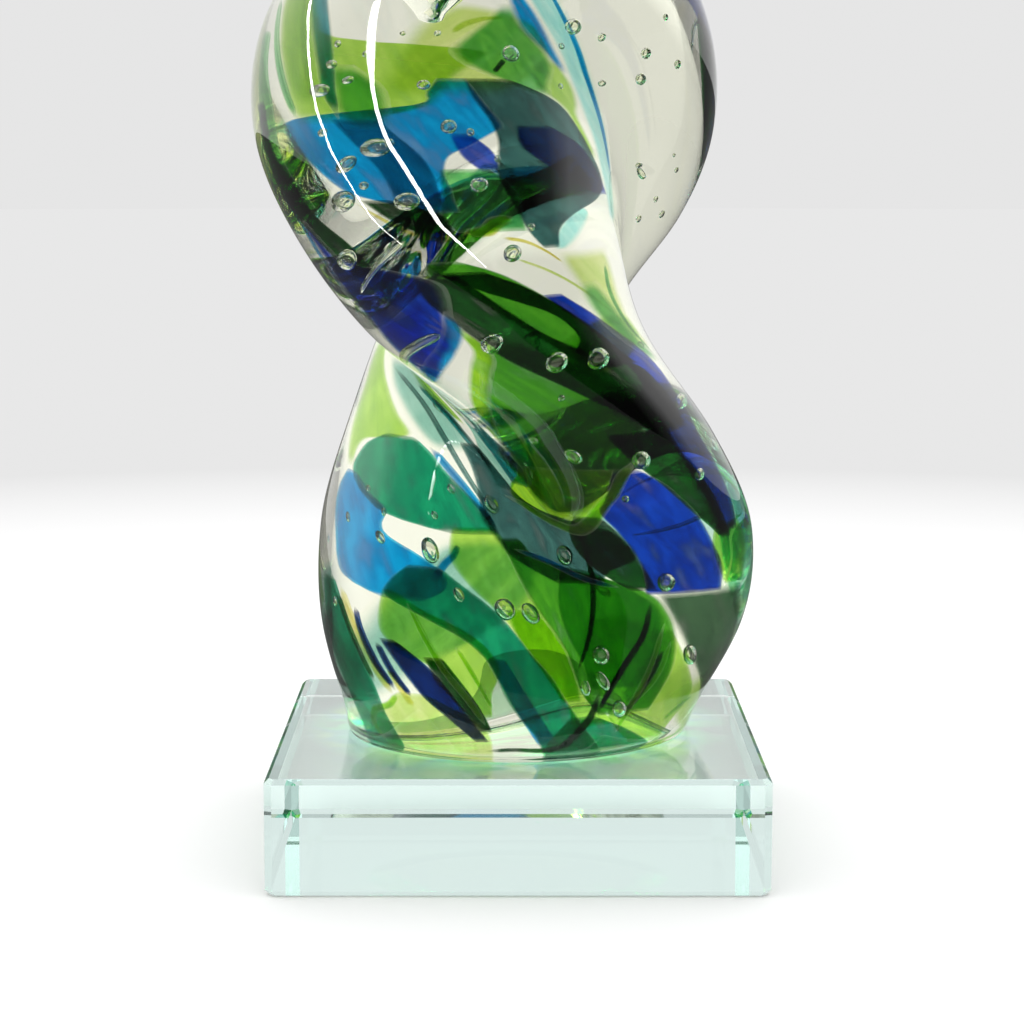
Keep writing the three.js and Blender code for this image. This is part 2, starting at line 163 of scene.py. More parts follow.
class Tree:
    """The node tree of a material or a world, emptied and ready to fill."""

    def __init__(self, owner):
        owner.use_nodes = True
        self.nodes = owner.node_tree.nodes
        self.links = owner.node_tree.links
        self.nodes.clear()

    def node(self, kind, settings=None, inputs=None, output=0):
        made = self.nodes.new("ShaderNode" + kind)
        for name, value in (settings or {}).items():
            if name == "stops":
                self._stops(made, value)
            else:
                setattr(made, name, value)
        for key, value in (inputs or {}).items():
            if isinstance(value, Socket):
                self.links.new(value.output, made.inputs[key])
            else:
                made.inputs[key].default_value = value
        return Socket(self, made.outputs[output]) if made.outputs else made

    @staticmethod
    def _stops(ramp_node, stops):
        elements = ramp_node.color_ramp.elements
        while len(elements) > 1:
            elements.remove(elements[0])
        elements[0].position, elements[0].color = stops[0]
        for position, colour in stops[1:]:
            elements.new(position).color = colour

    def mix_colour(self, factor, first, second):
        inputs = {0: factor, 6: first, 7: second}
        return self.node("Mix", {"data_type": "RGBA"}, inputs, output=2)

    def noise(self, vector, scale, detail=2.0, distortion=0.0):
        inputs = {"Vector": vector, "Scale": scale, "Detail": detail, "Distortion": distortion}
        return self.node("TexNoise", None, inputs)

    def ramp(self, factor, stops):
        return self.node("ValToRGB", {"stops": stops}, {"Fac": factor})


def material(name):
    made = bpy.data.materials.new(name)
    return made, Tree(made)


def grey(value):
    return (value, value, value, 1.0)


print("shader helpers ready")

# %% [markdown]
# ## Clear glass
# The gathers are soda glass with a faint straw tint. A Principled shader with full
# transmission gives refraction and reflection. A thin, slightly soft coat is added: it
# mirrors a lamp as a crisp white shape with far less grain than a perfect mirror does.
# A low, long bump is the unevenness that the paddle leaves.

# %% Clear glass materials
GLASS_IOR = 1.5
COAT_ROUGHNESS = 0.02
WAVE_STRENGTH = 0.35


def clear_glass(name, tint, wave_scale, wave_depth, coat=0.6):
    made, tree = material(name)
    place = tree.node("TexCoord", output=3)
    wave = tree.noise(place, wave_scale, 1.0)
    bump = tree.node("Bump", None, {"Strength": WAVE_STRENGTH, "Distance": wave_depth, "Height": wave})
    shade = tree.noise(place, wave_scale * 0.4, 1.0)
    colour = tree.mix_colour(shade, tint[0], tint[1])
    shader = tree.node("BsdfPrincipled", None, {
        "Base Color": colour, "Roughness": 0.0, "IOR": GLASS_IOR, "Transmission Weight": 1.0,
        "Coat Weight": coat, "Coat Roughness": COAT_ROUGHNESS, "Normal": bump,
    })
    tree.node("OutputMaterial", None, {"Surface": shader})
    return made


straw_tint = [(0.93, 0.935, 0.80, 1), (0.90, 0.91, 0.75, 1)]
body_glass = clear_glass("straw_clear_glass", straw_tint, 18.0, 0.0004)
print(body_glass.name)

# %% [markdown]
# ## Block glass
# The block is a separate, whiter melt with a pale aqua cast that shows most where light
# travels far through it, along the edges. Volume Absorption gives exactly that, a tint
# that grows with the path, which a tinted surface can't. The vase throws coloured light
# on the block's top, round its foot. Tracing that light would take very many samples, so
# the top face glows faintly there instead, in a pattern of the vase's own greens.

# %% Block glass material
BLOCK_TINT = (0.62, 0.93, 0.86, 1)
BLOCK_TINT_DENSITY = 5.0
GRIND_SCALE, GRIND_ROUGHNESS = 900.0, 0.004
GLOW_STRENGTH = 0.45
GLOW_PATTERN_SCALE = 55.0
GLOW_GREEN, GLOW_TEAL, GLOW_LIME = (0.02, 0.50, 0.12, 1), (0.0, 0.30, 0.28, 1), (0.28, 0.62, 0.06, 1)
# A ramp has a coarse step, so the distance and the height are scaled up before it.
DISTANCE_SCALE, GLOW_FULL, GLOW_END = 15.0, 0.62, 0.78
HEIGHT_SCALE, UNDER_TOP, AT_TOP = 40.0, 0.90, 0.93


def block_glow(tree, place):
    """The colour of the light that the vase throws on the block's top."""
    black, white = grey(0.0), grey(1.0)
    pattern = tree.ramp(
        tree.noise(place, GLOW_PATTERN_SCALE),
        [(0.36, black), (0.46, GLOW_GREEN), (0.54, GLOW_TEAL), (0.64, GLOW_LIME)],
    )
    away = tree.node("VectorMath", {"operation": "LENGTH"}, {0: place}, output=1)
    near = tree.ramp(away * DISTANCE_SCALE, [(GLOW_FULL, white), (GLOW_END, black)])
    parts = tree.node("SeparateXYZ", None, {0: place}).output.node
    top = tree.ramp(Socket(tree, parts.outputs[2]) * HEIGHT_SCALE, [(UNDER_TOP, black), (AT_TOP, white)])
    return tree.mix_colour(top, black, tree.mix_colour(near, black, pattern))


def block_glass():
    made, tree = material("aqua_block_glass")
    place = tree.node("TexCoord", output=3)
    shader = tree.node("BsdfPrincipled", None, {
        "Base Color": grey(1.0), "Roughness": tree.noise(place, GRIND_SCALE) * GRIND_ROUGHNESS,
        "IOR": GLASS_IOR, "Transmission Weight": 1.0,
        "Emission Strength": GLOW_STRENGTH, "Emission Color": block_glow(tree, place),
    })
    tint = tree.node("VolumeAbsorption", None, {"Color": BLOCK_TINT, "Density": BLOCK_TINT_DENSITY})
    tree.node("OutputMaterial", None, {"Surface": shader, "Volume": tint})
    return made


aqua_glass = block_glass()
print(aqua_glass.name)

# %% [markdown]
# ## Coloured glass
# Each chip of colour is a filter inside the clear mass: it bends no light, because it is
# glass in glass, and it only takes some of the light away. So its index is 1 against
# the glass around it and its base colour does the work. The colour thins out towards
# the chip's edge, is drawn into streaks along the twist, and shifts from one shade to a
# second one across the chip. The mesh carries two values for that: how deep the colour
# is at a point, and how far across the chip it lies.

# %% Coloured glass materials
# Each shade: the name of a material slot, the share of light that it scatters back,
# which keeps a dense shade from going black, and the two colours it shifts between.
SHADES = {
    "cobalt": ("cobalt_glass", 0.06, (0.002, 0.02, 0.3), (0.006, 0.06, 0.6)),
    "azure": ("azure_glass", 0.05, (0.003, 0.2, 0.54), (0.006, 0.4, 0.86)),
    "violet": ("cobalt_glass", 0, (0.02, 0.05, 0.42), (0.06, 0.14, 0.55)),
    "teal": ("teal_glass", 0.05, (0.006, 0.2, 0.12), (0.012, 0.36, 0.18)),
    "sea": ("teal_glass", 0.05, (0.003, 0.16, 0.2), (0.01, 0.32, 0.36)),
    "haze": ("pale_cyan_glass", 0, (0.2, 0.48, 0.42), (0.4, 0.66, 0.6)),
    "cyan": ("pale_cyan_glass", 0, (0.34, 0.78, 0.8), (0.55, 0.88, 0.88)),
    "green": ("green_glass", 0.1, (0.04, 0.28, 0.015), (0.09, 0.4, 0.025)),
    "leaf": ("green_glass", 0.06, (0.08, 0.42, 0.12), (0.2, 0.58, 0.2)),
    "forest": ("forest_glass", 0, (0.002, 0.03, 0.004), (0.008, 0.1, 0.012)),
    "lime": ("lime_glass", 0, (0.32, 0.6, 0.07), (0.46, 0.72, 0.13)),
    "straw": ("lime_glass", 0, (0.55, 0.72, 0.18), (0.74, 0.82, 0.36)),
    "acid": ("lime_glass", 0.06, (0.26, 0.62, 0.02), (0.44, 0.78, 0.04)),
    "slate": ("smoke_slate_glass", 0, (0.02, 0.07, 0.075), (0.05, 0.15, 0.15)),
    "smoke": ("smoke_slate_glass", 0, (0.03, 0.075, 0.04), (0.06, 0.13, 0.07)),
    "navy": ("navy_glass", 0, (0.001, 0.004, 0.05), (0.002, 0.02, 0.16)),
    "gold": ("lime_glass", 0, (0.62, 0.55, 0.06), (0.86, 0.8, 0.3)),
}


def coloured_glass(shade):
    made, tree = material(f"{shade}_glass")
    depth = tree.node("Attribute", {"attribute_name": "depth"}, output=2)
    flow = tree.node("Attribute", {"attribute_name": "flow"}, output=1)
    streaks = tree.noise(flow, 5.0, 4.0, 0.6)
    milky = SHADES[shade][1]
    first, second = ((*rgb, 1.0) for rgb in SHADES[shade][2:])
    across = tree.ramp(streaks, [(0.35, grey(0.0)), (0.65, grey(1.0))])
    colour = tree.mix_colour(across, first, second)
    density = depth * (streaks * 0.5 + 0.78)
    clamped = tree.node("Clamp", None, {"Value": density})
    filtered = tree.mix_colour(clamped, (1.0, 1.0, 0.97, 1.0), colour)
    shader = tree.node("BsdfPrincipled", None, {
        "Base Color": filtered, "Roughness": 0.0, "IOR": 1.0, "Transmission Weight": 1.0 - milky,
        "Specular IOR Level": 0.0,
    })
    tree.node("OutputMaterial", None, {"Surface": shader})
    return made


colour_glass = {shade: coloured_glass(shade) for shade in SHADES}
print(len(colour_glass), "coloured glasses")

# %% [markdown]
# ## Putting a mesh in the scene
# Every piece is built as points and faces, made into an object and shaded smooth, and
# the solids that it stands for are hidden. The vase has no joints, so every piece rides on the root.

# %% Making pieces


def make_object(name, points, faces, look):
    mesh = bpy.data.meshes.new(name)
    mesh.from_pydata(points, [], faces)
    mesh.materials.append(look)
    for polygon in mesh.polygons:
        polygon.use_smooth = True
    mesh.update()
    made = bpy.data.objects.new(name, mesh)
    bpy.context.scene.collection.objects.link(made)
    return made


def place_piece(piece, slot, *solids):
    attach(piece, "root")
    if solids:
        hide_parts(*solids)


def loft(loops):
    """Faces between loops that all have the same number of points."""
    size = len(loops[0])
    points = [point for loop in loops for point in loop]
    faces = []
    for row in range(len(loops) - 1):
        for side in range(size):
            after = (side + 1) % size
            base = row * size
            faces.append((base + side, base + after, base + size + after, base + size + side))
    return points, faces


# %% [markdown]
# ## The clear mass
# One closed surface: the ground foot, the twisted skin, the fire polished lip and the
# flower well that was blown down from the mouth. The lip is a round bead, since a rim
# that is cut cold and then reheated always rounds over.

# %% The clear mass
SIDES = 224
ROWS = 230
FOOT_ROUND = 1.2
FOOT_SINK = 0.0001
LIP_ROUND = 3.2
WELL = [
    (215.0, 0.0, 0.0, 11.5),
    (204.0, 0.0, 0.0, 9.0),
    (193.5, -1.0, 1.0, 7.5),
    (182.0, -4.0, 3.0, 8.5),
    (170.0, -9.0, 4.0, 10.0),
    (158.0, -14.0, 3.0, 9.5),
    (149.0, -17.0, 1.0, 6.5),
    (143.0, -18.0, 0.0, 2.5),
]


def skin_loop(height, inset=0.0):
    return [body_point(height, 360.0 * side / SIDES, 1.0, inset) for side in range(SIDES)]


def foot_loops():
    """The ground face, sunk into the block by a hair, and the small round at its edge."""
    sink = Vector((0, 0, block_high[2] - FOOT_SINK - BODY_FLOOR))
    loops = [skin_loop(0.0, FOOT_ROUND + 30.0 * share) for share in (0.95, 0.6, 0.3, 0.0)]
    loops = [[point + sink for point in loop] for loop in loops]
    for step in range(1, 5):
        turn = math.pi / 2 * step / 4
        loops.append(skin_loop(FOOT_ROUND * (1 - math.cos(turn)), FOOT_ROUND * (1 - math.sin(turn))))
    return loops


def lip_loops(outer_height, well_radius):
    """A bead from the top of the skin over to the top of the well."""
    outer = skin_loop(outer_height)
    middle = sum(outer, Vector()) / SIDES
    outer_r = (outer[0] - middle).length / MM
    half = (outer_r - well_radius) / 2
    loops = []
    for step in range(1, 16):
        turn = math.pi * step / 16
        radius = (outer_r - half + half * math.cos(turn)) / outer_r
        lift = Vector((0, 0, LIP_ROUND * math.sin(turn) * MM))
        loops.append([middle + (point - middle) * radius + lift for point in outer])
    return loops


def well_loops(top):
    loops = []
    steps = 70
    tip = WELL[-1]
    for step in range(steps + 1):
        place = (len(WELL) - 1) * step / steps
        height, x, y, radius = (spline([row[k] for row in WELL], place) for k in range(4))
        height = min(height, top)
        turn = math.radians(STATIONS[-1][5])
        loop = []
        for side in range(SIDES):
            angle = math.tau * side / SIDES + turn
            ripple = 1 + 0.05 * math.sin(3 * angle + height * 0.12) * min(1.0, (215 - height) / 30)
            loop.append(Vector((
                (x + radius * ripple * math.cos(angle)) * MM,
                (y + radius * ripple * math.sin(angle)) * MM,
                BODY_FLOOR + height * MM,
            )))
        loops.append(loop)
    for share in (0.75, 0.45, 0.15):
        drop = tip[3] * math.sqrt(1 - share**2)
        centre = Vector((tip[1] * MM, tip[2] * MM, BODY_FLOOR + (tip[0] - drop) * MM))
        flat = Vector((tip[1] * MM, tip[2] * MM, BODY_FLOOR + tip[0] * MM))
        loops.append([centre + (point - flat) * share for point in loops[steps]])
    return loops


skin_top = BODY_HEIGHT - LIP_ROUND
skin_heights = [FOOT_ROUND + (skin_top - FOOT_ROUND) * (row + 1) / ROWS for row in range(ROWS)]
mass_loops = foot_loops() + [skin_loop(height) for height in skin_heights]
mass_loops += lip_loops(skin_top, WELL[0][3]) + well_loops(skin_top)
mass_points, mass_faces = loft(mass_loops)
mass_faces.append(tuple(reversed(range(SIDES))))
final = len(mass_points) - SIDES
mass_faces.append(tuple(range(final, final + SIDES)))
print("clear mass", len(mass_faces), "faces")

# %% [markdown]
# ## Trapped air
# A bubble is a void in the glass, so it is a small closed shell inside the same mesh
# with its faces turned inwards: light then leaves the glass as it meets the bubble and
# enters it again behind, and the bubble gets its bright rim by itself. The twist drags
# each one long in the direction of the turn. Each row is the height over the foot, the
# angle from the main lobe's crest, and the bubble's length and width in millimetres.
# Bubbles lie just under the skin, the large ones a little deeper.

# %% Trapped air
BUBBLES = [
    # the upper lobe
    (133, 26, 5.4, 2.7), (138, 34, 2.9, 1.9), (142, 39, 1.6, 1.6), (140, 45, 1.4, 1.4),
    (135, 36, 2.9, 1.6), (134, 53, 2.9, 2.1), (144, 67, 1.6, 1.2), (144, 58, 1.4, 1.0),
    (140, 84, 3.7, 3.7), (126, 49, 3.3, 2.9), (125, 53, 1.6, 1.6), (125, 18, 2.5, 1.6),
    (122, 27, 6.8, 3.7), (119, 16, 5.2, 2.9), (123, 32, 2.1, 1.6), (112, 4, 5.8, 4.1),
    (112, 20, 5.4, 3.7), (115, 15, 2.1, 1.6), (115, 41, 3.7, 2.9), (120, 53, 1.4, 1.4),
    # where the main lobe crosses the front
    (107, 42, 1.6, 1.6), (102, 29, 3.7, 3.3), (101, -15, 5.4, 4.1), (85, -6, 4.5, 4.1),
    (81, 2, 4.5, 4.1), (81, 14, 4.9, 4.5), (74, -13, 1.4, 1.4), (71, 22, 5.8, 3.1),
    (65, -41, 2.1, 1.9), (62, -34, 4.1, 2.9), (61, -16, 4.1, 3.7), (57, -4, 2.5, 2.5),
    # the foot's bulb
    (53, -34, 1.6, 1.6), (52, -134, 2.1, 1.2), (46, -145, 2.9, 1.2), (41, -158, 2.1, 1.0),
    (43, -135, 3.7, 1.9), (41, -122, 5.8, 3.7), (53, -105, 2.5, 1.6), (50, -94, 4.5, 2.9),
    (48, -130, 2.1, 1.2), (48, -114, 2.1, 1.4), (40, -73, 4.5, 3.7), (35, -41, 4.1, 4.1),
    (33, -118, 3.3, 2.1), (30, -107, 4.9, 4.1), (29, -99, 4.9, 3.3), (20, -78, 4.1, 4.1),
    (15, -82, 4.5, 2.5), (9, -79, 3.7, 3.3), (14, -90, 3.3, 2.1), (19, -43, 4.9, 3.7),
    (29, -162, 2.1, 1.6), (39, 0, 4.5, 1.2), (26, 60, 3.4, 2.8), (48, 84, 4.2, 3.1),
    (18, 128, 3.1, 2.6), (60, 150, 3.8, 2.4), (84, 172, 4.4, 3.0), (92, 150, 2.2, 1.9),
    # the second lobe
    (148, 152, 1.4, 1.4), (141, 138, 2.5, 2.3), (139, 147, 1.9, 1.9), (136, 132, 2.7, 2.5),
    (119, 120, 2.7, 1.4), (118, 135, 1.6, 1.4), (121, 134, 1.0, 1.0), (112, 126, 1.6, 1.6),
    (109, 131, 2.5, 2.1), (108, 119, 1.9, 1.9), (146, 120, 3.7, 3.3), (144, 127, 2.1, 1.6),
    (142, 109, 1.4, 1.4), (135, 117, 2.1, 1.4), (134, 95, 1.2, 1.2), (158, 140, 2.2, 1.9),
    (166, 60, 3.6, 2.6), (172, 20, 2.8, 2.0), (163, 184, 2.6, 2.0), (126, 214, 3.2, 2.2),
    (140, -70, 4.1, 2.8), (122, -60, 3.6, 2.6), (112, -86, 2.4, 1.8), (178, 120, 3.0, 2.2),
]
BUBBLE_COVER = 0.9
BUBBLE_SIDES, BUBBLE_RINGS = 14, 9
SIDEWAYS_ABOVE = 68


def bubble_shell(height, degrees, length, width, rng):
    """Points and inward faces of one stretched bubble."""
    depth = BUBBLE_COVER + width / 2 + rng.uniform(-0.2, 0.4)
    centre = body_point(height, degrees, 1.0, depth)
    rise, run = (1.0, 0.0) if height < SIDEWAYS_ABOVE else (0.35, 2.0)
    ahead = body_point(height + rise, degrees + run, 1.0, depth) - centre
    outward = (centre - body_point(height, degrees, 1.0, depth + 2.0)).normalized()
    along = (ahead - ahead.dot(outward) * outward).normalized()
    side = outward.cross(along)
    spin = rng.uniform(-0.25, 0.25)
    cos, sin = math.cos(spin), math.sin(spin)
    along, side = along * cos + side * sin, side * cos - along * sin
    ball = bmesh.new()
    bmesh.ops.create_uvsphere(ball, u_segments=BUBBLE_SIDES, v_segments=BUBBLE_RINGS, radius=0.5)
    points = []
    for vert in ball.verts:
        local = Vector(vert.co)
        local *= 1 + 0.05 * noise.noise(local * 3 + centre * 900)
        point = along * local.z * length + side * local.x * width + outward * local.y * width * 0.8
        points.append(centre + point * MM)
    faces = [tuple(reversed([v.index for v in face.verts])) for face in ball.faces]
    ball.free()
    return points, faces


def tube_shell(start, end, width):
    """A drawn-out bubble between two places, each a height and an angle."""
    points, faces = [], []
    ring, steps = 12, 20
    ends = [body_point(*start, 1.0, BUBBLE_COVER + width), body_point(*end, 1.0, BUBBLE_COVER + width)]
    along = (ends[1] - ends[0]).normalized()
    side = along.cross(Vector((0, 0, 1))).normalized()
    other = along.cross(side)
    for step in range(steps + 1):
        share = step / steps
        height = start[0] + (end[0] - start[0]) * share
        degrees = start[1] + (end[1] - start[1]) * share
        middle = body_point(height, degrees, 1.0, BUBBLE_COVER + width)
        radius = max(0.05, math.sqrt(max(0.0, 1 - (2 * share - 1) ** 6))) * width / 2 * MM
        points += [
            middle + (side * math.cos(a) + other * math.sin(a)) * radius
            for a in (math.tau * k / ring for k in range(ring))
        ]
    for step in range(steps):
        for k in range(ring):
            a, b = step * ring + k, step * ring + (k + 1) % ring
            faces.append((a, b, b + ring, a + ring))
    faces.append(tuple(reversed(range(ring))))
    faces.append(tuple(range(steps * ring, (steps + 1) * ring)))
    first = faces[ring * steps // 2]
    normal = (points[first[1]] - points[first[0]]).cross(points[first[2]] - points[first[0]])
    near = sum((points[i] for i in first), Vector()) / 4
    spine = body_point((start[0] + end[0]) / 2, (start[1] + end[1]) / 2, 1.0, BUBBLE_COVER + width)
    if normal.dot(near - spine) > 0:
        faces = [tuple(reversed(face)) for face in faces]
    return points, faces


TUBES = [((94.5, -24), (104.5, 8), 1.2), ((80.2, -54), (86.8, -16), 2.4), ((52, 30), (46, 64), 1.0)]
rng = random.Random(7)
shells = [bubble_shell(*bubble, rng) for bubble in BUBBLES]
shells += [tube_shell(*tube) for tube in TUBES]
for shell_points, shell_faces in shells:
    first = len(mass_points)
    mass_points += shell_points
    mass_faces += [tuple(first + index for index in face) for face in shell_faces]
vase_glass = make_object("vase_glass", mass_points, mass_faces, body_glass)
place_piece(vase_glass, "clear_glass", "outer_casing", "inner_core")
print(len(BUBBLES), "bubbles")

# %% [markdown]
# ## The colour between the gathers
# Each chip of colour is a thin slab that follows the section at a fixed share of its
# radius, in one of four layers, so that blue lies over green as it does in the glass.
# Its outline is a row for each height, with the angles of its two edges. The edges are
# smoothed between the rows and waver a little, as molten colour does, and the slab
# tapers to nothing there.

# %% Slabs of colour
LAYER_SHARE = 0.86
LAYERS = {"top": 0.0, "over": 0.8, "under": 2.0, "deep": 3.2}
CHIP_THICKNESS = 0.8
CHIP_COLUMNS = 30
CHIP_ROW = 0.7
EDGE_FADE = 0.6
SOFT_FADE = 2.6
SOFT_CHIPS = (
    "crown", "shoulder", "back", "neck", "tip_green", "smoke", "rim", "oval_side", "navy_shoulder",
)
GROW_DEGREES = 1.3
GROW_ENDS = 0.6
WAVER, WAVER_RATE = 1.3, 0.12
MM_PER_DEGREE = math.radians(1) * 32.0


def slab(name, shade, layer, grid):
    """A thin closed slab over a grid of (height, angle, depth of colour)."""
    seed = (sum(ord(letter) for letter in name) % 97) * 0.37
    inset = LAYERS[layer] + seed * 0.01
    width = len(grid[0])
    outer, inner, depths, flows = [], [], [], []
    for row in grid:
        for height, angle, depth in row:
            thickness = CHIP_THICKNESS * (0.15 + 0.85 * depth)
            outer.append(body_point(height, angle, LAYER_SHARE, inset))
            inner.append(body_point(height, angle, LAYER_SHARE, inset + thickness))
            depths.append(depth)
            flows.append((angle / 25.0, height / 45.0, seed))
    count = len(outer)
    faces = []
    for row in range(len(grid) - 1):
        for column in range(width - 1):
            a = row * width + column
            b, c, d = a + 1, a + width + 1, a + width
            faces.append((a, b, c, d))
            faces.append((count + d, count + c, count + b, count + a))
    last = (len(grid) - 1) * width
    border = [(c + 1, c) for c in range(width - 1)]
    border += [(last + c, last + c + 1) for c in range(width - 1)]
    border += [(r * width, (r + 1) * width) for r in range(len(grid) - 1)]
    border += [((r + 2) * width - 1, (r + 1) * width - 1) for r in range(len(grid) - 1)]
    faces += [(a, b, count + b, count + a) for a, b in border]
    piece = make_object(name, outer + inner, faces, colour_glass[shade])
    depth_layer = piece.data.attributes.new("depth", "FLOAT", "POINT")
    depth_layer.data.foreach_set("value", depths + depths)
    flow_layer = piece.data.attributes.new("flow", "FLOAT_VECTOR", "POINT")
    flow_layer.data.foreach_set("vector", [value for flow in flows + flows for value in flow])
    return piece


def waver(seed, height):
    """A smooth random offset for an edge, the same on each run."""
    return WAVER * noise.noise(Vector((seed * 3.7, height * WAVER_RATE, 0.0)))


def soft(distance, fade):
    """0 at an edge, 1 at a fade's distance inside it, with no corner between."""
    share = max(0.0, min(1.0, distance / fade))
    return share * share * (3 - 2 * share)


def chip(name, shade, layer, outline):
    """A broad patch: rows of (height, angle of one edge, angle of the other)."""
    seed = sum(ord(letter) for letter in name) % 89
    segments = len(outline) - 1
    places = []
    for segment in range(segments):
        rise = outline[segment + 1][0] - outline[segment][0]
        steps = max(3, math.ceil(rise / CHIP_ROW))
        places += [segment + step / steps for step in range(steps)]
    places.append(segments)
    outline = [(h, start - GROW_DEGREES, stop + GROW_DEGREES) for h, start, stop in outline]
    outline[0] = (max(outline[0][0] - GROW_ENDS, 0.5), *outline[0][1:])
    outline[-1] = (outline[-1][0] + GROW_ENDS, *outline[-1][1:])
    fade = SOFT_FADE if name.startswith(SOFT_CHIPS) else EDGE_FADE
    bottom, top = outline[0][0], outline[-1][0]
    grid = []
    for place in places:
        height, start, stop = (spline([row[k] for row in outline], place) for k in range(3))
        start += waver(seed, height)
        stop += waver(seed + 50, height)
        wide = max(stop - start, 0.1) * MM_PER_DEGREE
        end = min(height - bottom, top - height)
        row = []
        for column in range(CHIP_COLUMNS + 1):
            share = column / CHIP_COLUMNS
            share -= 0.12 * math.sin(math.tau * share) / math.tau
            edge = min(share, 1 - share) * wide
            depth = soft(edge, min(fade, wide / 2)) * soft(end + 0.3, fade)
            row.append((height, start + (stop - start) * share, depth))
        grid.append(row)
    return slab(name, shade, layer, grid)


def streak(name, shade, layer, path):
    """A drawn-out thread: points of (height, angle, width) along its middle."""
    steps = 48
    grid = []
    last = len(path) - 1
    for step in range(steps + 1):
        place = last * step / steps
        here = [spline([row[k] for row in path], place) for k in range(3)]
        ahead = [spline([row[k] for row in path], min(place + 0.02, last)) for k in range(2)]
        behind = [spline([row[k] for row in path], max(place - 0.02, 0)) for k in range(2)]
        rise, run = ahead[0] - behind[0], (ahead[1] - behind[1]) * MM_PER_DEGREE
        length = math.hypot(rise, run) or 1.0
        end = soft(min(step, steps - step) + 0.4, steps / 8)
        half = max(here[2], 0.2) / 2 * (0.3 + 0.7 * end)
        row = []
        for column in range(9):
            across = half * (column / 4 - 1)
            depth = soft(1 - abs(column / 4 - 1), 0.5) * end
            height = here[0] - across * run / length
            angle = here[1] + across * rise / length / MM_PER_DEGREE
            row.append((height, angle, depth))
        grid.append(row)
    return slab(name, shade, layer, grid)


print("layers", LAYERS)

# %% [markdown]
# ## Broad chips
# The large patches, from the foot up. Each name is followed by its shade, its layer and
# its outline. The far side and the neck have the names of their solids but paler shades,
# because light that mirrors inside the glass carries their colour to the front.

